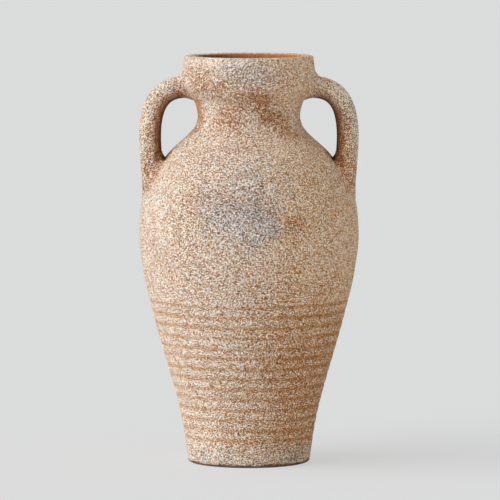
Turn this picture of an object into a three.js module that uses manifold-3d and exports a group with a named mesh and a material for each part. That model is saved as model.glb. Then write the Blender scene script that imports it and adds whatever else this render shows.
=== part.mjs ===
// Amphora vase with two loop handles, in coarse sanded earthenware, 450 mm high.
// It is built as a potter builds a tall vase: thrown sections that seat on one another
// with a tongue and a groove, and two rolled handles luted to the collar and the shoulder.
// Millimetres, +Z up. The origin is the centre of the base, and the handles lie along X.

import * as THREE from 'three';
import { mergeVertices } from 'three/addons/utils/BufferGeometryUtils.js';
import Module from 'manifold-3d';

// Outer wall: radii, and heights as rises from the station below
const footRadius = 67;
const bellyRise = 252;
const bellyRadius = 121.6;
const neckRise = 131;
const neckRadius = 56.6;
const flareRise = 26;
const collarTuck = 5.2;
const swellRise = 11;
const collarRadius = 74.2;
const rimRise = 30;
const rimTuck = 3;

// Shape points between two stations: share of the rise, share of the change of radius
const conePoints = [[0.18, 0.132], [0.635, 0.696], [0.84, 0.916]];
const shoulderPoints = [[0.23, 0.03], [0.54, 0.303], [0.67, 0.47], [0.943, 0.977]];
const flarePoints = [[0.577, 0.258]];

// Walls, floor and openings
const wallThickness = 8.4;
const floorThickness = 12;
const floorFillet = 6;
const throatWall = 17.5;
const rimWall = 13;
const lipRounding = 3;
const mouthRounding = 4;

// Foot ring turned on the underside
const footRingWidth = 17;
const footRecess = 2.5;
const recessSlope = 2.5;
const footRounding = 3.5;

// Throwing ribs: shallow grooves with broad rounded ridges between them
const ribCount = 14;
const ribPitch = 11.6;
const firstRibRise = 7;
const ribDepth = 0.6;
const ribGrooveWidth = 6.4;

// Seams between the thrown sections
const footSeamRise = 8;
const ribSeamRise = 11;
const shoulderSeamDrop = 13;
const collarSeamRise = 16;
const tongueWidth = 3.4;
const tongueTopWidth = 2.2;
const tongueHeight = 3;
const slipGap = 0.3;

// Loop handles: an oval roll over an arch and down a leg that leans in a little
const handleThickness = 24.6;
const handleWidth = 28;
const handleRootRise = 6.2;
const handleRootDepth = 4.1;
const handleArchHeight = 55.5;
const archFullness = 0.69;
const handleFootInset = 8.6;
const handleLean = 8.4;
const legBend = 18;
const rootFillet = 4.5;
const crotchFillet = 8;

// Facets
const quarterSteps = 10;
const cornerSteps = 3;
const wallRowHeight = 12.8;
const neckRowHeight = 6;
const insideRowHeight = 18;
const handleAroundSteps = 16;
const archSteps = 14;
const filletShares = [-0.5, 0, 0.2, 0.5];

// Heights of the stations
const neckHeight = bellyRise + neckRise;
const collarHeight = neckHeight + flareRise;
const swellHeight = collarHeight + swellRise;
const rimHeight = swellHeight + rimRise;
const floorHeight = footRecess + floorThickness;

// Heights of the seams
const footSeam = floorHeight + footSeamRise;
const firstRibHeight = footSeam + firstRibRise;
const ribSeam = firstRibHeight + (ribCount - 1) * ribPitch + ribSeamRise;
const shoulderSeam = neckHeight - shoulderSeamDrop;
const collarSeam = neckHeight + collarSeamRise;

// A smooth curve through [height, radius] stations that never overshoots them
function smoothCurve(stations) {
  const last = stations.length - 1;
  const secants = [];
  for (let i = 0; i < last; i += 1) {
    const rise = stations[i + 1][0] - stations[i][0];
    secants.push((stations[i + 1][1] - stations[i][1]) / rise);
  }
  const tangents = [secants[0]];
  for (let i = 1; i < last; i += 1) {
    const below = secants[i - 1];
    const above = secants[i];
    const turns = below * above <= 0;
    const lower = stations[i][0] - stations[i - 1][0];
    const upper = stations[i + 1][0] - stations[i][0];
    const wide = 2 * upper + lower;
    const narrow = upper + 2 * lower;
    tangents.push(turns ? 0 : (wide + narrow) / (wide / below + narrow / above));
  }
  tangents.push(secants[last - 1]);

  function locate(height) {
    let i = 0;
    while (i < last - 1 && height > stations[i + 1][0]) {
      i += 1;
    }
    const rise = stations[i + 1][0] - stations[i][0];
    return { i, rise, t: (height - stations[i][0]) / rise };
  }

  return {
    radius(height) {
      const { i, rise, t } = locate(height);
      const s = 1 - t;
      return (1 + 2 * t) * s * s * stations[i][1] + t * s * s * rise * tangents[i]
        + t * t * (3 - 2 * t) * stations[i + 1][1] - t * t * s * rise * tangents[i + 1];
    },
    slope(height) {
      const { i, rise, t } = locate(height);
      const s = 1 - t;
      return (6 * t * s * (stations[i + 1][1] - stations[i][1])) / rise
        + s * (1 - 3 * t) * tangents[i] + t * (3 * t - 2) * tangents[i + 1];
    },
  };
}

// Stations between two ends, from their shape points
function between(from, to, shapePoints) {
  return shapePoints.map(([up, out]) => [
    THREE.MathUtils.lerp(from[0], to[0], up),
    THREE.MathUtils.lerp(from[1], to[1], out),
  ]);
}

const footStation = [0, footRadius];
const bellyStation = [bellyRise, bellyRadius];
const neckStation = [neckHeight, neckRadius];
const collarStation = [collarHeight, collarRadius - collarTuck];

const outerWall = smoothCurve([
  footStation,
  ...between(footStation, bellyStation, conePoints),
  bellyStation,
  ...between(bellyStation, neckStation, shoulderPoints),
  neckStation,
  ...between(neckStation, collarStation, flarePoints),
  collarStation,
  [swellHeight, collarRadius],
  [rimHeight, collarRadius - rimTuck],
]);

const throat = smoothCurve([
  [neckHeight, neckRadius - wallThickness],
  [collarHeight, collarRadius - collarTuck - throatWall],
  [rimHeight, collarRadius - rimTuck - rimWall],
]);

// The wall keeps its thickness square to its surface up to the neck
function innerRadius(height) {
  if (height > neckHeight) {
    return throat.radius(height);
  }
  return outerWall.radius(height) - wallThickness * Math.hypot(1, outerWall.slope(height));
}

function point(radius, height) {
  return new THREE.Vector2(radius, height);
}

// Values spaced evenly from one to another, both included
function levels(from, to, count) {
  return Array.from({ length: count + 1 }, (_, i) => THREE.MathUtils.lerp(from, to, i / count));
}

function wallLine(radiusAt, from, to, rowHeight) {
  const rows = Math.ceil(Math.abs(to - from) / rowHeight);
  return levels(from, to, rows).map((height) => point(radiusAt(height), height));
}

// Points on a quarter circle, from one angle to another in degrees
function corner(radius, height, size, fromAngle, toAngle) {
  return levels(fromAngle, toAngle, cornerSteps).map((angle) => {
    const turn = THREE.MathUtils.degToRad(angle);
    return point(radius + size * Math.cos(turn), height + size * Math.sin(turn));
  });
}

// The tongue on top of a section, and the groove that takes it, which is wider by the gap.
// Both lean with the wall. The points run inwards.
function tongueLine(seam, gap) {
  const middle = (outerWall.radius(seam) + innerRadius(seam)) / 2;
  const top = middle + outerWall.slope(seam) * tongueHeight;
  const half = tongueWidth / 2 + gap;
  const topHalf = tongueTopWidth / 2 + gap;
  return [
    point(middle + half, seam),
    point(top + topHalf, seam + tongueHeight + gap),
    point(top - topHalf, seam + tongueHeight + gap),
    point(middle - half, seam),
  ];
}

function grooveLine(seam) {
  return tongueLine(seam, slipGap).reverse();
}

// A solid of revolution about Z from a profile that runs up the outside and down the inside.
// Triangles with no area, at the poles, are left out.
function revolve(profile) {
  const lathe = new THREE.LatheGeometry(profile, 4 * quarterSteps);
  lathe.rotateX(Math.PI / 2);
  lathe.deleteAttribute('normal');
  lathe.deleteAttribute('uv');
  const body = mergeVertices(lathe);
  const corners = body.getIndex().array;
  const faces = [];
  for (let i = 0; i < corners.length; i += 3) {
    const [a, b, c] = corners.subarray(i, i + 3);
    if (a !== b && b !== c && c !== a) {
      faces.push(a, b, c);
    }
  }
  body.setIndex(faces);
  return body;
}

// A thrown ring closes on itself: outside, top edge, inside, bottom edge
function ring(outside, topEdge, inside, bottomEdge) {
  const profile = [...outside, ...topEdge, ...inside, ...bottomEdge];
  profile.push(profile[0].clone());
  return revolve(profile);
}

// The ribbed wall: each groove is a shallow V, and the ridges keep the wall's own line
function ribbedLine(from, to) {
  const line = [point(outerWall.radius(from), from)];
  for (let k = 0; k < ribCount; k += 1) {
    const middle = firstRibHeight + k * ribPitch;
    for (const [offset, depth] of [[-ribGrooveWidth / 2, 0], [0, ribDepth], [ribGrooveWidth / 2, 0]]) {
      const height = middle + offset;
      line.push(point(outerWall.radius(height) - depth, height));
    }
  }
  line.push(point(outerWall.radius(to), to));
  return line;
}

// The lines of the outer wall that the handles meet are shared with the cutter of their ends
const lipStart = rimHeight - lipRounding;
const shoulderOutside = wallLine(outerWall.radius, ribSeam, shoulderSeam, wallRowHeight);
const neckOutside = wallLine(outerWall.radius, shoulderSeam, collarSeam, neckRowHeight);
const collarOutside = wallLine(outerWall.radius, collarSeam, lipStart, neckRowHeight);

function makeFoot() {
  const ringInner = footRadius - footRounding - footRingWidth;
  const heel = outerWall.radius(footRounding) - footRounding;
  const floorCorner = innerRadius(footSeam) - floorFillet;
  return revolve([
    point(0, footRecess),
    point(ringInner - recessSlope, footRecess),
    point(ringInner, 0),
    ...corner(heel, footRounding, footRounding, -90, 0),
    ...wallLine(outerWall.radius, footRounding, footSeam, wallRowHeight).slice(1),
    ...tongueLine(footSeam, 0),
    point(innerRadius(footSeam), footSeam),
    ...corner(floorCorner, floorHeight + floorFillet, floorFillet, 0, -90),
    point(0, floorHeight),
  ]);
}

function makeLowerWall() {
  return ring(
    ribbedLine(footSeam, ribSeam),
    tongueLine(ribSeam, 0),
    wallLine(innerRadius, ribSeam, footSeam, insideRowHeight),
    grooveLine(footSeam),
  );
}

function makeShoulderWall() {
  return ring(
    shoulderOutside,
    tongueLine(shoulderSeam, 0),
    wallLine(innerRadius, shoulderSeam, ribSeam, insideRowHeight),
    grooveLine(ribSeam),
  );
}

function makeNeck() {
  return ring(
    neckOutside,
    tongueLine(collarSeam, 0),
    wallLine(innerRadius, collarSeam, shoulderSeam, neckRowHeight),
    grooveLine(shoulderSeam),
  );
}

function makeRimCollar() {
  const mouthStart = rimHeight - mouthRounding;
  const lipCentre = outerWall.radius(lipStart) - lipRounding;
  const mouthCentre = innerRadius(mouthStart) + mouthRounding;
  const lip = [
    ...corner(lipCentre, lipStart, lipRounding, 0, 90).slice(1),
    ...corner(mouthCentre, mouthStart, mouthRounding, 90, 180).slice(0, -1),
  ];
  return ring(
    collarOutside,
    lip,
    wallLine(innerRadius, mouthStart, collarSeam, insideRowHeight),
    grooveLine(collarSeam),
  );
}

// Handle: the roll's middle line in the XZ plane. It starts inside the collar, swings over a
// full arch, and runs down a leg that ends inside the belly.
const legRadius = bellyRadius - handleFootInset - handleThickness / 2;
const reachRadius = legRadius + handleLean;
const rootHeight = collarHeight + handleRootRise;
const archRadius = outerWall.radius(rootHeight) - handleRootDepth;
const archBase = rootHeight - handleArchHeight;

const rollLine = new THREE.CurvePath();
rollLine.add(new THREE.LineCurve(
  point(neckRadius - handleThickness / 2, rootHeight),
  point(archRadius, rootHeight),
));
rollLine.add(new THREE.CubicBezierCurve(
  point(archRadius, rootHeight),
  point(THREE.MathUtils.lerp(archRadius, reachRadius, archFullness), rootHeight),
  point(reachRadius, THREE.MathUtils.lerp(archBase, rootHeight, archFullness)),
  point(reachRadius, archBase),
));
rollLine.add(new THREE.QuadraticBezierCurve(
  point(reachRadius, archBase),
  point(reachRadius, archBase - legBend),
  point(legRadius, bellyRise),
));
const rollLength = rollLine.getLength();

// A point on the oval roll: how far along it, and the angle around it from its upper side
function rollPoint(distance, angle) {
  const share = distance / rollLength;
  const middle = rollLine.getPoint(share);
  const along = rollLine.getTangent(share);
  const across = point(-along.y, along.x);
  const up = Math.cos(angle);
  const side = Math.sin(angle);
  const skin = new THREE.Vector3(
    middle.x + (across.x * up * handleThickness) / 2,
    (side * handleWidth) / 2,
    middle.y + (across.y * up * handleThickness) / 2,
  );
  const normal = new THREE.Vector3(across.x * up, side, across.y * up);
  return { skin, normal };
}

// The nearest direction off the wall, and how far a point lies outside it
function offWall(spot) {
  const radius = Math.hypot(spot.x, spot.y);
  const slope = outerWall.slope(spot.z);
  const normal = new THREE.Vector3(spot.x / radius, spot.y / radius, -slope).normalize();
  const distance = (radius - outerWall.radius(spot.z)) / Math.hypot(1, slope);
  return { normal, distance };
}

// Where one line along the roll comes out of the wall, between a distance inside and one outside
function wallCrossing(angle, inside, outside) {
  let hidden = inside;
  let open = outside;
  for (let halving = 0; halving < 24; halving += 1) {
    const middle = (hidden + open) / 2;
    if (offWall(rollPoint(middle, angle).skin).distance < 0) {
      hidden = middle;
    } else {
      open = middle;
    }
  }
  return open;
}

// The luted joint: near the wall the skin is drawn out along the wall as a concave fillet
function lutedPoint(distance, angle, fillet) {
  const { skin, normal } = rollPoint(distance, angle);
  const wall = offWall(skin);
  const closeness = 1 - THREE.MathUtils.clamp(wall.distance / fillet, 0, 1);
  const alongWall = normal.addScaledVector(wall.normal, -normal.dot(wall.normal));
  return skin.addScaledVector(alongWall, fillet * closeness * closeness);
}

// One line along the roll: shared rings over the arch, and closer points in its own two fillets
function rollRow({ angle, rootEdge, footEdge }, rings) {
  const root = filletShares.map((share) => rootEdge + share * rootFillet);
  const foot = filletShares.map((share) => footEdge - share * crotchFillet).reverse();
  return [
    ...[0, ...root].map((distance) => lutedPoint(distance, angle, rootFillet)),
    ...rings.map((distance) => rollPoint(distance, angle).skin),
    ...[...foot, rollLength].map((distance) => lutedPoint(distance, angle, crotchFillet)),
  ];
}

// The roll as one closed skin: its rows side by side, with a fan over each end
function handleRoll() {
  const middle = rollLength / 2;
  const lines = levels(0, 2 * Math.PI, handleAroundSteps).slice(0, -1).map((angle) => ({
    angle,
    rootEdge: wallCrossing(angle, 0, middle),
    footEdge: wallCrossing(angle, rollLength, middle),
  }));
  const rings = levels(
    Math.max(...lines.map((line) => line.rootEdge)) + rootFillet,
    Math.min(...lines.map((line) => line.footEdge)) - crotchFillet,
    archSteps,
  );
  const rows = lines.map((line) => rollRow(line, rings));
  const rowLength = rows[0].length;
  const spots = rows.flat();
  const faces = [];
  const hubs = [spots.length, spots.length + 1];
  rows.forEach((_, k) => {
    const here = k * rowLength;
    const next = ((k + 1) % rows.length) * rowLength;
    for (let i = 0; i < rowLength - 1; i += 1) {
      faces.push(here + i, next + i + 1, next + i, here + i, here + i + 1, next + i + 1);
    }
    faces.push(hubs[0], here, next, hubs[1], next + rowLength - 1, here + rowLength - 1);
  });
  for (const end of [rollLine.getPoint(0), rollLine.getPoint(1)]) {
    spots.push(new THREE.Vector3(end.x, 0, end.y));
  }
  return bodyFrom(spots.flatMap((spot) => spot.toArray()), faces);
}

function bodyFrom(positions, faces) {
  const geometry = new THREE.BufferGeometry();
  geometry.setAttribute('position', new THREE.Float32BufferAttribute(positions, 3));
  geometry.setIndex(faces);
  return geometry;
}

// The wall as a full solid, larger by the slip gap, cuts the handle's two seats
function wallCutter() {
  const wall = [...shoulderOutside, ...neckOutside.slice(1), ...collarOutside.slice(1)];
  const grown = wall.map((spot) => {
    const slope = outerWall.slope(spot.y);
    const size = slipGap / Math.hypot(1, slope);
    return point(spot.x + size, spot.y - slope * size);
  });
  return revolve([
    point(0, grown[0].y),
    ...grown,
    point(0, grown[grown.length - 1].y),
  ]);
}

const wasm = await Module();
wasm.setup();

function toSolid(geometry) {
  return new wasm.Manifold(new wasm.Mesh({
    numProp: 3,
    vertProperties: new Float32Array(geometry.getAttribute('position').array),
    triVerts: new Uint32Array(geometry.getIndex().array),
  }));
}

function makeHandle() {
  const mesh = toSolid(handleRoll()).subtract(toSolid(wallCutter())).getMesh();
  return bodyFrom(Array.from(mesh.vertProperties), Array.from(mesh.triVerts));
}

// Fired clay, by the photographed tone of each part
function clay(color) {
  return new THREE.MeshStandardMaterial({ color, roughness: 0.95, metalness: 0 });
}

function part(name, geometry, color) {
  const mesh = new THREE.Mesh(geometry, clay(color));
  geometry.computeVertexNormals();
  mesh.name = name;
  return mesh;
}

const vase = new THREE.Group();
vase.add(part('foot', makeFoot(), '#b9a089'));
vase.add(part('lower_wall', makeLowerWall(), '#c2a386'));
vase.add(part('shoulder_wall', makeShoulderWall(), '#cdb297'));
vase.add(part('neck', makeNeck(), '#b98e68'));
vase.add(part('rim_collar', makeRimCollar(), '#c4ab8f'));

const handleRight = part('handle_right', makeHandle(), '#b68d6a');
vase.add(handleRight);

const handleLeft = part('handle_left', makeHandle(), '#b68d6a');
handleLeft.rotation.z = Math.PI;
vase.add(handleLeft);

export default vase;
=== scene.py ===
import bisect
import math
import bpy
import bmesh
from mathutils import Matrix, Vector, noise


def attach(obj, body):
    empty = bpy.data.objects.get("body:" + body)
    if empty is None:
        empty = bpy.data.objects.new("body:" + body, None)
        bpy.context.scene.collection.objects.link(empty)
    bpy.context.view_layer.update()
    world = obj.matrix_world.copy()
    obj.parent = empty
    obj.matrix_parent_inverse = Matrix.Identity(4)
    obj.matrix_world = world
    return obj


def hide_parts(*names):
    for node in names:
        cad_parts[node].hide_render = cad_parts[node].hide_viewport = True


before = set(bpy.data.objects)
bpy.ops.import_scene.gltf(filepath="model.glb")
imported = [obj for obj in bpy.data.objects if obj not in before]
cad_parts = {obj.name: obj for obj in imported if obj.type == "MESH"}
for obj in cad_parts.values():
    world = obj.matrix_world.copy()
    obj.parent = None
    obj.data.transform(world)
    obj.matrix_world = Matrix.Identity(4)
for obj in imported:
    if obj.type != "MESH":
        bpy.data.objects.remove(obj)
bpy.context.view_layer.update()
mm = 0.001

# The wall from foot to lip: (height, radius) stations of its outside and its throat, in mm
wall = {
    "stations": [(0, 67), (45.36, 74.207), (160.02, 105.002), (211.68, 117.014), (252, 121.6),
                 (282.13, 119.65), (322.74, 101.905), (339.77, 91.05), (375.533, 58.095),
                 (383, 56.6), (398.002, 59.799), (409, 69), (420, 74.2), (450, 71.2)],
    "throat": [(383, 48.2), (409, 51.5), (450, 58.2)],
    "thickness": 8.4,      # square to the surface, up to the neck
    "neckHeight": 383,     # from here up the inside follows the throat
    "facesAround": 360,
    "mergeWithin": 0.01,
    "sharpAngle": 50,
}


def between(value, low=0, high=1):
    return min(high, max(low, value))


# A smooth curve through (height, radius) stations that never overshoots them
class Curve:
    def __init__(self, stations):
        self.stations = stations
        rises = [b[0] - a[0] for a, b in zip(stations, stations[1:])]
        secants = [(b[1] - a[1]) / rise for a, b, rise in zip(stations, stations[1:], rises)]
        self.tangents = [secants[0]]
        for i in range(1, len(secants)):
            below, above = secants[i - 1], secants[i]
            wide, narrow = 2 * rises[i] + rises[i - 1], rises[i] + 2 * rises[i - 1]
            turns = below * above <= 0
            self.tangents.append(0 if turns else (wide + narrow) / (wide / below + narrow / above))
        self.tangents.append(secants[-1])

    def locate(self, height):
        i = 0
        while i < len(self.stations) - 2 and height > self.stations[i + 1][0]:
            i += 1
        rise = self.stations[i + 1][0] - self.stations[i][0]
        return i, rise, (height - self.stations[i][0]) / rise

    def radius(self, height):
        i, rise, t = self.locate(height)
        s = 1 - t
        return ((1 + 2 * t) * s * s * self.stations[i][1] + t * s * s * rise * self.tangents[i]
                + t * t * (3 - 2 * t) * self.stations[i + 1][1]
                - t * t * s * rise * self.tangents[i + 1])

    def slope(self, height):
        i, rise, t = self.locate(height)
        s = 1 - t
        return (6 * t * s * (self.stations[i + 1][1] - self.stations[i][1]) / rise
                + s * (1 - 3 * t) * self.tangents[i] + t * (3 * t - 2) * self.tangents[i + 1])


outside = Curve(wall["stations"])
throat = Curve(wall["throat"])


def insideRadius(height):
    if height > wall["neckHeight"]:
        return throat.radius(height)
    return outside.radius(height) - wall["thickness"] * math.hypot(1, outside.slope(height))


# The way out of the wall at a spot, and how far outside its true line the spot lies
def offWall(spot):
    reach = math.hypot(spot.x, spot.y)
    slope = outside.slope(spot.z)
    normal = Vector((spot.x / reach, spot.y / reach, -slope)).normalized()
    return normal, (reach - outside.radius(spot.z)) / math.hypot(1, slope)


def levels(start, end, count):
    return [start + (end - start) * i / count for i in range(count + 1)]


def wallLine(radiusAt, start, end, row):
    return [(radiusAt(z), z) for z in levels(start, end, math.ceil(abs(end - start) / row))]


def corner(radius, height, size, start, end, count=6):
    return [(radius + size * math.cos(math.radians(a)), height + size * math.sin(math.radians(a)))
            for a in levels(start, end, count)]


# The throwing ribs: shallow grooves, a little uneven as the fingers leave them, in mm
ribs = {
    "count": 14,
    "first": 29.5,         # height of the lowest
    "pitch": 11.6,
    "width": 7,
    "depth": 0.55,
    "stray": 1.0,          # how far a groove wanders up and down
    "unevenness": 0.55,    # share of its depth that comes and goes
    "change": 1.6,         # how often both change on the way round
    "apart": 5.3,          # how unlike its neighbour a groove is
    "depthShift": (3, 8, 2),
}


def groove(spot):
    turn = math.atan2(spot.y, spot.x)
    k = between(round((spot.z - ribs["first"]) / ribs["pitch"]), 0, ribs["count"] - 1)
    place = Vector((ribs["change"] * math.cos(turn), ribs["change"] * math.sin(turn),
                    ribs["apart"] * k))
    stray = ribs["stray"] * noise.noise(place)
    strength = 1 + ribs["unevenness"] * noise.noise(place + Vector(ribs["depthShift"]))
    away = abs(spot.z - (ribs["first"] + k * ribs["pitch"] + stray)) / (ribs["width"] / 2)
    if away >= 1:
        return 0
    return strength * (0.5 + 0.5 * math.cos(math.pi * away))


# How the hand and the coarse clay leave the skin, in mm
skin = {
    "slowWave": 46, "slowDepth": 0.3,      # uneven pressure of the hand
    "fastWave": 11, "fastDepth": 0.1,      # lumps of the coarse clay
    "fastShift": (7, 3, 5),
    "footFade": 4,         # the lumps die out over this height at the foot's edge
    "lipFrom": 436, "lipShare": 0.6,       # weaker lumps on the lip, straight down
    "onLine": 0.02,        # a spot as near the wall's true line belongs to the outside
    "cavity": (14, 449.3), "cavityDepth": 5,
    "hub": 1, "ground": 0.2,               # the poles and the standing ring stay as they are
}


def lumps(spot):
    slow = between(0.5 + 0.5 * noise.noise(spot / skin["slowWave"]))
    fast = between(0.5 + 0.5 * noise.noise(spot / skin["fastWave"] + Vector(skin["fastShift"])))
    return skin["slowDepth"] * slow + skin["fastDepth"] * fast


# Moves the skin in by the lumps and the grooves, and marks grooves and cavity for the colour
def workSkin(bm, ribbed):
    cutMark = bm.verts.layers.float.new("groove")
    cavityMark = bm.verts.layers.float.new("inside")
    low, high = skin["cavity"]
    for vert in bm.verts:
        spot = vert.co / mm
        reach = math.hypot(spot.x, spot.y)
        if reach < skin["hub"] or spot.z < skin["ground"]:
            continue
        normal, away = offWall(spot)
        deep = reach < outside.radius(spot.z) - skin["cavityDepth"]
        vert[cavityMark] = low < spot.z < high and deep
        if abs(away) < skin["onLine"]:
            cut = groove(spot) if ribbed else 0
            vert[cutMark] = cut
            soft = between(spot.z / skin["footFade"])
            vert.co -= normal * (soft * lumps(spot) + cut * ribs["depth"]) * mm
        elif spot.z > skin["lipFrom"]:
            vert.co.z -= skin["lipShare"] * lumps(spot) * mm


# The thrown section as a line of points, spun about the vase's axis
def spinSection(profile, closed=True):
    bm = bmesh.new()
    spots = [bm.verts.new((radius * mm, 0, z * mm)) for radius, z in profile]
    lines = [bm.edges.new(pair) for pair in zip(spots, spots[1:])]
    if closed:
        lines.append(bm.edges.new((spots[-1], spots[0])))
    bmesh.ops.spin(bm, geom=spots + lines, cent=(0, 0, 0), axis=(0, 0, 1),
                   angle=2 * math.pi, steps=wall["facesAround"], use_merge=True)
    bmesh.ops.remove_doubles(bm, verts=bm.verts, dist=wall["mergeWithin"] * mm)
    bmesh.ops.recalc_face_normals(bm, faces=bm.faces)
    return bm


def finishPiece(bm, name, node, slot, sharpAngle=wall["sharpAngle"]):
    for face in bm.faces:
        face.smooth = True
    for edge in bm.edges:
        if len(edge.link_faces) == 2 and edge.calc_face_angle(0) > math.radians(sharpAngle):
            edge.smooth = False
    mesh = bpy.data.meshes.new(name)
    bm.to_mesh(mesh)
    bm.free()
    piece = bpy.data.objects.new(name, mesh)
    bpy.context.scene.collection.objects.link(piece)
    mesh.materials.append(clays[slot])
    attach(piece, "root")
    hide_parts(node)
    print("made", name, len(mesh.polygons), "faces")


# Shader values: arithmetic on one adds a Math node
class Wire:
    def __init__(self, tree, socket):
        self.tree = tree
        self.socket = socket

    def node(self, kind, settings, sockets, output=0):
        made = self.tree.nodes.new(kind)
        for name, value in settings.items():
            if name == "stops":
                ramp = made.color_ramp
                while len(ramp.elements) < len(value):
                    ramp.elements.new(0.5)
                for element, (place, color) in zip(ramp.elements, value):
                    element.position = place
                    element.color = (*color, 1)
            else:
                setattr(made, name, value)
        for key, value in sockets.items():
            if isinstance(value, Wire):
                self.tree.links.new(value.socket, made.inputs[key])
            else:
                made.inputs[key].default_value = value
        return Wire(self.tree, made.outputs[output] if made.outputs else None)

    def math(self, operation, *values, clamp=False):
        return self.node("ShaderNodeMath", {"operation": operation, "use_clamp": clamp},
                         dict(enumerate(values)))

    def __add__(self, other):
        return self.math("ADD", self, other)

    __radd__ = __add__

    def __sub__(self, other):
        return self.math("SUBTRACT", self, other)

    def __rsub__(self, other):
        return self.math("SUBTRACT", other, self)

    def __mul__(self, other):
        return self.math("MULTIPLY", self, other)

    __rmul__ = __mul__

    def clamped(self):
        return self.math("ADD", self, 0, clamp=True)

    def above(self, low, high):    # 0 at low, 1 at high, smooth between
        return self.node("ShaderNodeMapRange", {"interpolation_type": "SMOOTHSTEP"},
                         {"Value": self, "From Min": low, "From Max": high})

    def vector(self, operation, *values, output=0):
        return self.node("ShaderNodeVectorMath", {"operation": operation},
                         dict(enumerate(values)), output)

    def noise(self, size, detail, roughness):      # size of one feature in metres
        return self.node("ShaderNodeTexNoise", {"noise_dimensions": "3D"},
                         {"Vector": self, "Scale": 1 / size, "Detail": detail,
                          "Roughness": roughness})

    def grains(self, size):        # every grain has its own random colour
        return self.node("ShaderNodeTexVoronoi", {"voronoi_dimensions": "3D", "feature": "F1"},
                         {"Vector": self, "Scale": 1 / size, "Randomness": 1}, 1)

    def part(self, output):        # one channel of a colour
        return self.node("ShaderNodeSeparateColor", {}, {"Color": self}, output)

    def ramp(self, stops):
        return self.node("ShaderNodeValToRGB", {"stops": stops}, {"Fac": self})

    def mixed(self, color, factor):
        return self.node("ShaderNodeMix", {"data_type": "RGBA"},
                         {"Factor": factor, 6: self, 7: color}, 2)


def srgb(red, green, blue):
    return tuple(v / 255 / 12.92 if v / 255 <= 0.04045 else ((v / 255 + 0.055) / 1.055) ** 2.4
                 for v in (red, green, blue))


# Patches of the clay, each with its centre, its half sizes in mm and its strength: where it is
# whiter (above 0) or darker (below 0), a few as painted highlight or painted shade, where it is
# stained orange, where painted shade darkens the creases at the handles' feet, and where grey grains
# lie among the others. The front faces -Y.
zones = {
    "tone": [
        ((14, -58, 398), (14, 28, 10), -0.1), ((24, -54, 386), (14, 26, 9), -0.12),
        ((-48, -54, 424), (22, 30, 16), -0.12), ((0, -74, 424), (36, 26, 16), -0.12),
        ((2, -118, 288), (34, 30, 18), -0.14), ((46, -110, 273), (14, 20, 10), -0.1),
        ((32, -117, 262), (10, 16, 8), -0.2), ((83, -84, 290), (12, 20, 10), -0.12),
        # the two patches at x = ±88 darken the crease where each handle leg meets the shoulder:
        # painted shade
        ((-88, 0, 342), (9, 20, 7), -0.5), ((88, 0, 342), (9, 20, 7), -0.5),
        ((103, 0, 366), (12, 24, 30), -0.42), ((-112, 0, 366), (12, 24, 30), 0.12),
        ((-96, 0, 420), (18, 24, 12), 0.1), ((50, -40, 8), (30, 40, 14), 0.08),
        ((39, -70, 352), (36, 30, 14), 0.08), ((-100, -60, 300), (26, 44, 40), 0.07),
        # the two patches on the lip are painted highlight, where the rounded lip catches the light
        ((0, -60, 447), (72, 44, 6), 0.1), ((-40, -55, 444), (34, 30, 7), 0.16),
        ((-42, -40, 397), (10, 20, 14), 0.12), ((-74, -6, 420), (14, 26, 11), -0.13),
        ((101, 0, 409), (24, 20, 17), 0.36), ((103, 0, 333), (10, 24, 13), -0.27),
        ((62, -30, 407), (9, 26, 8), -0.16), ((76, 0, 420), (10, 24, 8), 0.2),
        ((-4, -108, 311), (14, 24, 9), -0.12), ((-44, -46, 8), (40, 40, 14), -0.1),
        ((121, 0, 366), (7, 14, 34), 0.2),
    ],
    "stain": [
        ((-54, -50, 434), (20, 30, 16), 0.45), ((-64, -14, 411), (15, 26, 12), 0.8),
        ((-37, -62, 415), (34, 30, 11), 0.7), ((0, -64, 405), (24, 30, 9), 0.8),
        ((17, -56, 398), (18, 28, 15), 0.8), ((-22, -52, 384), (18, 26, 17), 0.95),
        ((28, -48, 379), (20, 26, 9), 0.9), ((45, -58, 366), (14, 26, 8), 0.6),
        ((-54, -8, 393), (7, 26, 22), 1.9), ((-66, -6, 369), (7, 22, 8), 1.5),
        ((-42, -108, 290), (34, 30, 24), 0.7), ((2, -118, 294), (30, 30, 14), 0.4),
        ((50, -106, 275), (24, 24, 13), 0.55), ((-20, -105, 330), (40, 30, 12), 0.25),
        ((-104, 0, 318), (30, 30, 32), 1.25), ((106, 0, 318), (24, 26, 26), 0.62),
        ((-88, 0, 342), (9, 22, 8), 0.6), ((88, 0, 342), (9, 22, 8), 0.6),
        ((-98, 0, 358), (20, 30, 24), 0.8),
    ],
    "crevice": [((-92, -6, 338), (5, 16, 4), 1.0), ((93, -6, 337), (5, 16, 4), 1.0)],
    "grey": [
        ((4, -105, 322), (52, 34, 32), 0.14), ((-3, -119, 272), (36, 36, 22), 0.34),
        ((-10, -112, 285), (54, 40, 44), 0.16), ((-40, -113, 284), (18, 20, 18), 0.12),
        ((28, -117, 266), (12, 20, 10), 0.24), ((-4, -73, 434), (36, 26, 14), 0.34),
        ((0, -60, 8), (70, 50, 14), 0.1), ((50, -40, 8), (30, 40, 14), 0.28),
        ((-44, -46, 8), (40, 40, 14), 0.2), ((112, 0, 385), (34, 30, 50), 0.36),
        ((-96, 0, 416), (24, 30, 16), 0.1),
    ],
}

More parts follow.
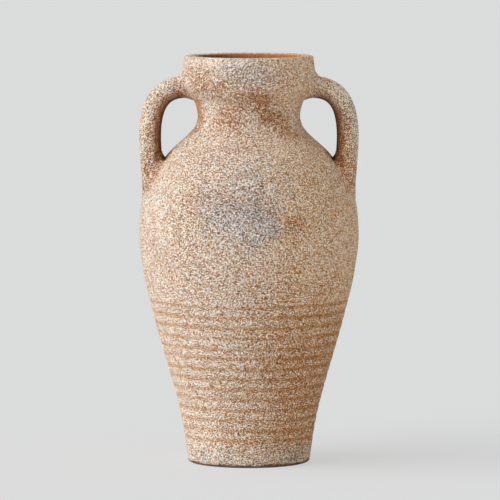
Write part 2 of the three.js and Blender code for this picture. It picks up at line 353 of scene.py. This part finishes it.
# Sizes and places are in metres
clay = {
    "grain": 0.00082, "fineGrain": 0.00058,
    "fineShare": 0.35, "greyFineShare": 0.4,       # of a grain's tone
    "cloud": (0.018, 2, 0.5),      # size, detail and roughness of each slow change
    "broad": (0.07, 3, 0.55),
    "greyCloud": (0.08, 1, 0.5),
    "wobble": 1.2,                 # how far the clouds push a patch's edge about
    "creviceWobble": 0.4,          # share of it on the crevices
    "patchEdge": (1.5, 0.3),       # in half sizes: nothing at the first, full at the second

    # Tones from dark to light
    "tones": [(0.0, srgb(116, 62, 22)), (0.25, srgb(176, 108, 46)), (0.45, srgb(214, 150, 78)),
              (0.66, srgb(228, 174, 106)), (0.8, srgb(249, 237, 215)),
              (1.0, srgb(254, 249, 239))],
    "stainTones": [(0.0, srgb(112, 54, 14)), (0.3, srgb(174, 100, 38)), (0.75, srgb(206, 136, 66)),
                   (0.88, srgb(242, 214, 172)), (1.0, srgb(252, 244, 226))],
    "greyTones": [(0.0, srgb(22, 20, 20)), (0.3, srgb(84, 80, 78)),
                  (0.6, srgb(170, 168, 166)), (1.0, srgb(252, 250, 248))],

    # Colours laid over the grains
    "groove": srgb(204, 150, 92),
    "slip": srgb(198, 134, 76),    # smooth orange where the stain is thickest
    # underside and crevice: painted shade under the handles' rolls, darkest along their lowest line
    # and in the creases at their feet
    "underside": srgb(142, 84, 36),
    "crevice": srgb(64, 33, 12),
    # heel: the foot's dark bottom edge, partly bare clay and partly painted shade on the rounding
    # that faces the floor
    "heel": srgb(92, 50, 18),
    "throat": srgb(186, 116, 60),
    # painted shade over the left wall inside the mouth, which faces away from the light
    "leftMouthShade": srgb(104, 76, 48),
    "shadeWarmth": (1.03, 0.97, 0.87),  # times the colour on the right: a painted warm bounce on the shaded side

    "specular": 0.25,
    "roughness": 0.97, "greySmoother": 0.1, "fineSmoother": 0.08,
    "relief": 0.5, "fineRelief": 0.2, "bump": 0.0004,
}

# Where each part of the pattern begins and where it is full
fades = {
    "behind": (-0.03, 0.02),       # from the front to the back
    "right": (-0.01, 0.06), "left": (-0.04, -0.1),
    "lowRight": (-0.04, 0.045), "low": (0.24, 0.12),
    "neckBottom": (0.368, 0.38), "neckTop": (0.412, 0.398),
    "footBottom": (0.004, 0.007), "footTop": (0.019, 0.01),
    "heel": (0.0048, 0.002),
    "mouthLeft": (0.0, -0.05), "mouthRight": (0.03, 0.062),
    "groovePatch": (0.25, 0.75), "backPatch": (0.5, 0.7), "backGrey": (0.46, 0.72),   # of noise
    "greyGrain": (-0.03, 0.03),
    "slip": (1.2, 2.0),            # of the stain's thickness
    "underside": (0.1, 0.7), "underCrevice": (0.65, 1.0),      # of the way in under a handle
}

# How strongly each part acts
shares = {
    "cloud": 0.3, "broad": 0.22, "backPatch": 0.15, "inner": 0.5, "inside": 0.2, "foot": 0.07,
    "lowRight": 0.3, "lowRightBack": 0.6, "stainDarkens": 0.15,
    "grooveWorn": 0.5, "grooveLeft": 0.65,
    "greyToRight": 0.75, "backGrey": 0.36, "greyMost": 0.62, "greyGrain": 0.9,
    "stainCloud": 0.5, "neckStain": 0.5, "insideStain": 0.6, "greyOverStain": 0.8,
    "rightContrast": 0.5, "leftContrast": 0.5, "stainContrast": 0.4, "greyContrast": 2.6,
    "greyToneContrast": 2.6, "greyToneBias": 0.8,
    "groove": 0.3, "slip": 0.7, "underside": 0.6, "underCrevice": 0.85, "heel": 0.85,
    "throat": 0.85, "throatRight": 0.35, "leftMouthShade": 0.68,
    "heelWobble": 0.004,           # in metres
}


def zoneSum(place, wobble, spots):
    total = None
    for centre, sizes, strength in spots:
        away = place.vector("SUBTRACT", place, tuple(v * mm for v in centre))
        scaled = place.vector("MULTIPLY", away, tuple(1 / (v * mm) for v in sizes))
        distance = place.vector("LENGTH", scaled, output=1)
        mask = (distance + wobble).above(*clay["patchEdge"]) * strength
        total = mask if total is None else total + mask
    return total


def makeClay(name, look):
    material = bpy.data.materials.new(name)
    material.use_nodes = True
    tree = material.node_tree
    tree.nodes.clear()
    place = Wire(tree, None).node("ShaderNodeTexCoord", {}, {}, 3)
    across, depth, height = [place.node("ShaderNodeSeparateXYZ", {}, {"Vector": place}, i)
                             for i in range(3)]
    groove, inner, inside = [place.node("ShaderNodeAttribute", {"attribute_name": mark}, {}, 2)
                             for mark in ("groove", "inner", "inside")]

    # Where the colour changes slowly
    cloud, broad, greyCloud = [place.noise(*clay[size]) for size in ("cloud", "broad", "greyCloud")]
    wobble = (cloud - 0.5) * clay["wobble"]
    worn = groove * (cloud.above(*fades["groovePatch"]) * shares["grooveWorn"]
                     + shares["grooveLeft"])
    behind = depth.above(*fades["behind"])
    right = across.above(*fades["right"])
    left = across.above(*fades["left"])
    neckStain = height.above(*fades["neckBottom"]) * height.above(*fades["neckTop"]) * behind
    # painted shade: darker low on the right, weaker at the back
    shade = (across.above(*fades["lowRight"]) * height.above(*fades["low"])
             * (1 - behind * shares["lowRightBack"]))
    bias = (zoneSum(place, wobble, zones["tone"]) + (cloud - 0.5) * shares["cloud"]
            + (broad - 0.5) * shares["broad"]
            - broad.above(*fades["backPatch"]) * behind * shares["backPatch"]
            # painted shade under the handles' rolls and inside the mouth
            - inner * shares["inner"] - inside * shares["inside"]
            + height.above(*fades["footBottom"]) * height.above(*fades["footTop"]) * shares["foot"]
            - worn * look["ochre"] - shade * shares["lowRight"] + look["tone"])
    greyShare = (zoneSum(place, wobble, zones["grey"]) + look["grey"]
                 - across * shares["greyToRight"]
                 + greyCloud.above(*fades["backGrey"]) * behind * shares["backGrey"])
    greyShare = place.math("MINIMUM", place.math("MAXIMUM", greyShare, 0), shares["greyMost"])
    thick = (zoneSum(place, wobble, zones["stain"]) + look["stain"]
             + (cloud - 0.5) * shares["stainCloud"] + neckStain * shares["neckStain"]
             + inside * shares["insideStain"] - greyShare * shares["greyOverStain"])
    stain = thick.clamped()
    bias = bias - stain * shares["stainDarkens"]

    # Grains: each has its own tone, and some are grey
    coarse = place.grains(clay["grain"])
    fine = place.grains(clay["fineGrain"])
    contrast = (look["contrast"] - right * shares["rightContrast"] - left * shares["leftContrast"]
                - stain * shares["stainContrast"] + greyShare * shares["greyContrast"])
    tone = ((coarse.part(0) * (1 - clay["fineShare"]) + fine.part(0) * clay["fineShare"] - 0.5)
            * contrast + 0.5 + bias).clamped()
    base = tone.ramp(clay["tones"]).mixed(tone.ramp(clay["stainTones"]), stain)
    isGrey = (coarse.part(1) - 1 + greyShare).above(*fades["greyGrain"])
    greyTone = ((fine.part(2) * clay["greyFineShare"]
                 + coarse.part(2) * (1 - clay["greyFineShare"]) - 0.5)
                * shares["greyToneContrast"] + 0.5 + bias * shares["greyToneBias"]).clamped()
    color = base.mixed(greyTone.ramp(clay["greyTones"]), isGrey * shares["greyGrain"])
    # warmer on the right: a painted warm bounce on the shaded side
    color = color.mixed(color.vector("MULTIPLY", color, clay["shadeWarmth"]), right)

    # What lies over the grains, the lowest layer first
    # painted shade over the left wall inside the mouth, which faces away from the light
    leftMouthShadeShare = inside * across.above(*fades["mouthLeft"]) * shares["leftMouthShade"]
    throatShare = inside * (shares["throat"]
                            - across.above(*fades["mouthRight"]) * shares["throatRight"])
    # painted shade in the creases where the handle legs meet the shoulder
    creaseShade = zoneSum(place, wobble * clay["creviceWobble"], zones["crevice"]).clamped()
    # the foot's dark bottom edge: partly bare clay, partly painted shade
    heel = (height + (cloud - 0.5) * shares["heelWobble"]).above(*fades["heel"])
    for layer, factor in [
            ("groove", worn * shares["groove"]),
            ("slip", thick.above(*fades["slip"]) * shares["slip"]),
            # painted shade under the handles' rolls, darkest along their lowest line
            ("underside", inner.above(*fades["underside"]) * shares["underside"]),
            ("crevice", inner.above(*fades["underCrevice"]) * shares["underCrevice"]),
            ("crevice", creaseShade), ("throat", throatShare), ("leftMouthShade", leftMouthShadeShare),
            ("heel", heel * shares["heel"])]:
        color = color.mixed((*clay[layer], 1), factor)

    # The surface: grains stand proud, with small lumps between them
    relief = coarse.part(0) * clay["relief"] + fine.part(0) * clay["fineRelief"]
    bump = place.node("ShaderNodeBump", {}, {"Height": relief, "Distance": clay["bump"],
                                            "Strength": look["bump"]})
    rough = (clay["roughness"] - isGrey * clay["greySmoother"]
             - fine.part(1) * clay["fineSmoother"])
    shader = place.node("ShaderNodeBsdfPrincipled", {},
                        {"Base Color": color, "Roughness": rough, "Normal": bump,
                         "Specular IOR Level": clay["specular"]})
    place.node("ShaderNodeOutputMaterial", {}, {"Surface": shader})
    return material


finishes = {
    "ribbed_clay": {"tone": 0.18, "ochre": 0.34, "grey": 0.09, "stain": 0.05,
                    "contrast": 2.6, "bump": 0.6},
    "whitened_clay": {"tone": 0.13, "ochre": 0, "grey": 0.09, "stain": 0.05,
                      "contrast": 2.6, "bump": 0.6},
    "stained_clay": {"tone": 0.13, "ochre": 0, "grey": 0.04, "stain": 0.08,
                     "contrast": 3.3, "bump": 0.6},
    "handle_clay": {"tone": 0.15, "ochre": 0, "grey": 0.08, "stain": 0.25,
                    "contrast": 3.0, "bump": 0.6},
}
clays = {slot: makeClay(slot.replace("_clay", "Clay"), look) for slot, look in finishes.items()}
print("made the clays")

# The foot: base disc, turned ring and shallow recess
foot = {
    "seam": 22.5, "floor": 14.5, "fillet": 6,
    "recess": 2.5, "recessSlope": 2.5, "ringInside": 46.5, "heel": 3.5,
    "row": 1.6, "hub": 4, "discRings": 8, "floorEdge": 6,
}
heelRadius = outside.radius(foot["heel"]) - foot["heel"]
floorCorner = insideRadius(foot["seam"]) - foot["fillet"]
recessEdge = foot["ringInside"] - foot["recessSlope"]
profile = [(0, foot["recess"])]
profile += [(r, foot["recess"]) for r in levels(foot["hub"], recessEdge, foot["discRings"])]
profile += [(foot["ringInside"], 0)]
profile += corner(heelRadius, foot["heel"], foot["heel"], -90, 0)
profile += wallLine(outside.radius, foot["heel"], foot["seam"], foot["row"])[1:]
profile += [(insideRadius(foot["seam"]), foot["seam"])]
profile += corner(floorCorner, foot["floor"] + foot["fillet"], foot["fillet"], 0, -90)
profile += [(r, foot["floor"])
            for r in levels(floorCorner - foot["floorEdge"], foot["hub"], foot["discRings"])]
profile += [(0, foot["floor"])]
bm = spinSection(profile, closed=False)
workSkin(bm, True)
finishPiece(bm, "footSection", "foot", "ribbed_clay")

# The ribbed cone, the belly with the shoulder, and the neck; a row is the height of one face
sections = {
    "ribbedWall": {"node": "lower_wall", "slot": "ribbed_clay", "ribbed": True,
                   "bottom": 22.5, "top": 191.3, "row": 1.6, "insideRow": 5},
    "bellyWall": {"node": "shoulder_wall", "slot": "whitened_clay", "ribbed": False,
                  "bottom": 191.3, "top": 370, "row": 1.6, "insideRow": 5},
    "neckSection": {"node": "neck", "slot": "stained_clay", "ribbed": False,
                    "bottom": 370, "top": 399, "row": 1.3, "insideRow": 3},
}
for name, section in sections.items():
    profile = wallLine(outside.radius, section["bottom"], section["top"], section["row"])
    profile += wallLine(insideRadius, section["top"], section["bottom"], section["insideRow"])
    bm = spinSection(profile)
    workSkin(bm, section["ribbed"])
    finishPiece(bm, name, section["node"], section["slot"])

# The collar and its rounded lip
rimCollar = {"bottom": 399, "top": 450, "lip": 3, "mouth": 4, "roundingFaces": 8,
             "row": 1.3, "insideRow": 3}
lipStart = rimCollar["top"] - rimCollar["lip"]
mouthStart = rimCollar["top"] - rimCollar["mouth"]
profile = wallLine(outside.radius, rimCollar["bottom"], lipStart, rimCollar["row"])
profile += corner(outside.radius(lipStart) - rimCollar["lip"], lipStart,
                  rimCollar["lip"], 0, 90, rimCollar["roundingFaces"])[1:]
profile += corner(insideRadius(mouthStart) + rimCollar["mouth"], mouthStart,
                  rimCollar["mouth"], 90, 180, rimCollar["roundingFaces"])[:-1]
profile += wallLine(insideRadius, mouthStart, rimCollar["bottom"], rimCollar["insideRow"])
bm = spinSection(profile)
workSkin(bm, False)
finishPiece(bm, "collar", "rim_collar", "whitened_clay")

# A loop handle: an oval roll over an arch and down a leg, its skin drawn out at both ends
handle = {
    "thickness": 24.6, "width": 28,
    "rootHeight": 415.2, "rootDepth": 4.1,     # the arch starts as far inside the collar's skin
    "innerEnd": 44.3,                          # radius at which the roll's line begins
    "archBase": 359.7, "reach": 109.1, "fullness": 0.69,
    "legRadius": 100.7, "legEnd": 252, "legBend": 18,
    "rootFillet": 6, "crotchFillet": 9, "filletRun": 1.2,
    "depth": 1.8,          # how far the skin goes into the wall
    "around": 56, "rings": 90, "rootRings": 12, "crotchRings": 36,
    "rootPoints": 20, "curvePoints": 120, "halvings": 24,
    "undersideFade": 8,    # the painted shade of the underside is full as far from the wall
    "sharpAngle": 60,
}


def bezier(points, t):
    points = [Vector(p) for p in points]
    while len(points) > 1:
        points = [a.lerp(b, t) for a, b in zip(points, points[1:])]
    return points[0]


def rollLine():
    h = handle
    start = outside.radius(h["rootHeight"]) - h["rootDepth"]
    arch = [(start, h["rootHeight"]),
            (start + (h["reach"] - start) * h["fullness"], h["rootHeight"]),
            (h["reach"], h["archBase"] + (h["rootHeight"] - h["archBase"]) * h["fullness"]),
            (h["reach"], h["archBase"])]
    leg = [(h["reach"], h["archBase"]), (h["reach"], h["archBase"] - h["legBend"]),
           (h["legRadius"], h["legEnd"])]
    line = [Vector((radius, h["rootHeight"]))
            for radius in levels(h["innerEnd"], start, h["rootPoints"])[:-1]]
    line += [bezier(arch, t) for t in levels(0, 1, h["curvePoints"])[:-1]]
    line += [bezier(leg, t) for t in levels(0, 1, h["curvePoints"])]
    return line


roll = rollLine()
rollWays = [(roll[min(i + 1, len(roll) - 1)] - roll[max(i - 1, 0)]).normalized()
            for i in range(len(roll))]
reaches = [0]
for before, after in zip(roll, roll[1:]):
    reaches.append(reaches[-1] + (after - before).length)
rollLength = reaches[-1]


# A point on the oval roll: how far along it, and the angle around it from its upper side
def rollSpot(distance, angle):
    i = between(bisect.bisect_right(reaches, distance) - 1, 0, len(roll) - 2)
    share = (distance - reaches[i]) / (reaches[i + 1] - reaches[i])
    middle = roll[i].lerp(roll[i + 1], share)
    along = rollWays[i].lerp(rollWays[i + 1], share).normalized()
    across = Vector((-along.y, along.x))
    up, side = math.cos(angle), math.sin(angle)
    spot = Vector((middle.x + across.x * up * handle["thickness"] / 2, side * handle["width"] / 2,
                   middle.y + across.y * up * handle["thickness"] / 2))
    return spot, Vector((across.x * up, side, across.y * up))


# Where a line along the roll comes out of the wall, or of a layer of this depth in it
def wallCrossing(angle, hidden, free, depth):
    for _ in range(handle["halvings"]):
        middle = (hidden + free) / 2
        if offWall(rollSpot(middle, angle)[0])[1] < -depth:
            hidden = middle
        else:
            free = middle
    return free


# The nearer the wall, the further the clay is drawn out over it
def lutedSpot(distance, angle, fillet):
    spot, normal = rollSpot(distance, angle)
    wallNormal, away = offWall(spot)
    closeness = 1 - between(away / fillet)
    along = normal - wallNormal * normal.dot(wallNormal)
    return spot + along * fillet * closeness * closeness


def makeHandle(name, node, side):
    h = handle
    half = rollLength / 2
    angles = [2 * math.pi * k / h["around"] for k in range(h["around"])]
    ends = [(wallCrossing(angle, 0, half, h["depth"]), wallCrossing(angle, 0, half, 0),
             wallCrossing(angle, rollLength, half, 0),
             wallCrossing(angle, rollLength, half, h["depth"])) for angle in angles]
    archStart = max(end[1] for end in ends) + h["rootFillet"] * h["filletRun"]
    archEnd = min(end[2] for end in ends) - h["crotchFillet"] * h["filletRun"]
    rows = []
    for angle, end in zip(angles, ends):
        row = [lutedSpot(d, angle, h["rootFillet"])
               for d in levels(end[0], archStart, h["rootRings"])[:-1]]
        row += [rollSpot(d, angle)[0] for d in levels(archStart, archEnd, h["rings"])]
        row += [lutedSpot(d, angle, h["crotchFillet"])
                for d in levels(archEnd, end[3], h["crotchRings"])[1:]]
        rows.append(row)
    bm = bmesh.new()
    innerMark = bm.verts.layers.float.new("inner")
    bmesh.ops.create_circle(bm, cap_ends=False, segments=h["around"], radius=h["width"] / 2 * mm)
    verts = list(bm.verts)
    edges = firstRing = list(bm.edges)
    for i in range(len(rows[0])):
        if i:      # the next ring grows out of the last
            made = bmesh.ops.extrude_edge_only(bm, edges=edges)["geom"]
            edges = [part for part in made if isinstance(part, bmesh.types.BMEdge)]
            fresh = {part for part in made if isinstance(part, bmesh.types.BMVert)}
            verts = [next(edge.other_vert(vert) for edge in vert.link_edges
                          if edge.other_vert(vert) in fresh) for vert in verts]
        for vert, row, angle in zip(verts, rows, angles):
            away = offWall(row[i])[1]
            vert.co = row[i] * mm
            # marks the roll's underside, away from the wall, for the painted shade
            vert[innerMark] = between(away / h["undersideFade"]) * max(0, -math.cos(angle))
    bmesh.ops.contextual_create(bm, geom=firstRing)
    bmesh.ops.contextual_create(bm, geom=edges)
    if side < 0:
        bmesh.ops.scale(bm, vec=(-1, 1, 1), verts=bm.verts)
    bmesh.ops.recalc_face_normals(bm, faces=bm.faces)
    bm.normal_update()
    for vert, normal in [(vert, vert.normal.copy()) for vert in bm.verts]:
        vert.co -= normal * lumps(vert.co / mm) * mm
    finishPiece(bm, name, node, "handle_clay", h["sharpAngle"])


makeHandle("rightHandle", "handle_right", 1)
makeHandle("leftHandle", "handle_left", -1)

# Floor, light and camera
studio = {
    "floor": srgb(238, 239, 239), "floorHalf": 40,
    "pale": srgb(220, 221, 221), "paleShare": 0.68,    # the paper's own shine, as the camera sees it
    "world": 0.47,
    "key": 2.25, "keyAngle": 65, "keyFrom": (-0.846, -0.267, 0.454),
    "camera": (0.0012, -5.4217, 0.7048), "target": (0.0012, 0, 0.2346),
    "lens": 354.2, "sensor": 36, "farthest": 60,
}
bm = bmesh.new()
bmesh.ops.create_grid(bm, x_segments=4, y_segments=4, size=studio["floorHalf"])
floorMesh = bpy.data.meshes.new("studioFloor")
bm.to_mesh(floorMesh)
bm.free()
floor = bpy.data.objects.new("studioFloor", floorMesh)
bpy.context.scene.collection.objects.link(floor)
floorPaper = bpy.data.materials.new("floorPaper")
floorPaper.use_nodes = True
floorPaper.node_tree.nodes.clear()
paper = Wire(floorPaper.node_tree, None)
lit = paper.node("ShaderNodeBsdfDiffuse", {}, {"Color": (*studio["floor"], 1)})
pale = paper.node("ShaderNodeEmission", {}, {"Color": (*studio["pale"], 1), "Strength": 1})
cameraRay, glossyRay, transmissionRay = [paper.node("ShaderNodeLightPath", {}, {}, output)
                                         for output in (0, 3, 6)]
seen = (cameraRay + glossyRay + transmissionRay).clamped()
blend = paper.node("ShaderNodeMixShader", {}, {0: seen * studio["paleShare"], 1: lit, 2: pale})
paper.node("ShaderNodeOutputMaterial", {}, {"Surface": blend})
floorMesh.materials.append(floorPaper)

world = bpy.data.worlds.new("studioLight")
world.use_nodes = True
world.node_tree.nodes["Background"].inputs["Color"].default_value = (1, 1, 1, 1)
world.node_tree.nodes["Background"].inputs["Strength"].default_value = studio["world"]
bpy.context.scene.world = world

key = bpy.data.lights.new("softKey", "SUN")
key.energy = studio["key"]
key.angle = math.radians(studio["keyAngle"])
keyLamp = bpy.data.objects.new("softKey", key)
keyLamp.rotation_euler = Vector(studio["keyFrom"]).to_track_quat("Z", "Y").to_euler()
bpy.context.scene.collection.objects.link(keyLamp)

lens = bpy.data.cameras.new("camera")
lens.lens = studio["lens"]
lens.sensor_width = studio["sensor"]
lens.clip_end = studio["farthest"]
camera = bpy.data.objects.new("camera", lens)
camera.location = studio["camera"]
aim = Vector(studio["target"]) - Vector(studio["camera"])
camera.rotation_euler = aim.to_track_quat("-Z", "Y").to_euler()
bpy.context.scene.collection.objects.link(camera)
bpy.context.scene.camera = camera
bpy.context.scene.view_settings.view_transform = "Standard"
print("made the studio")
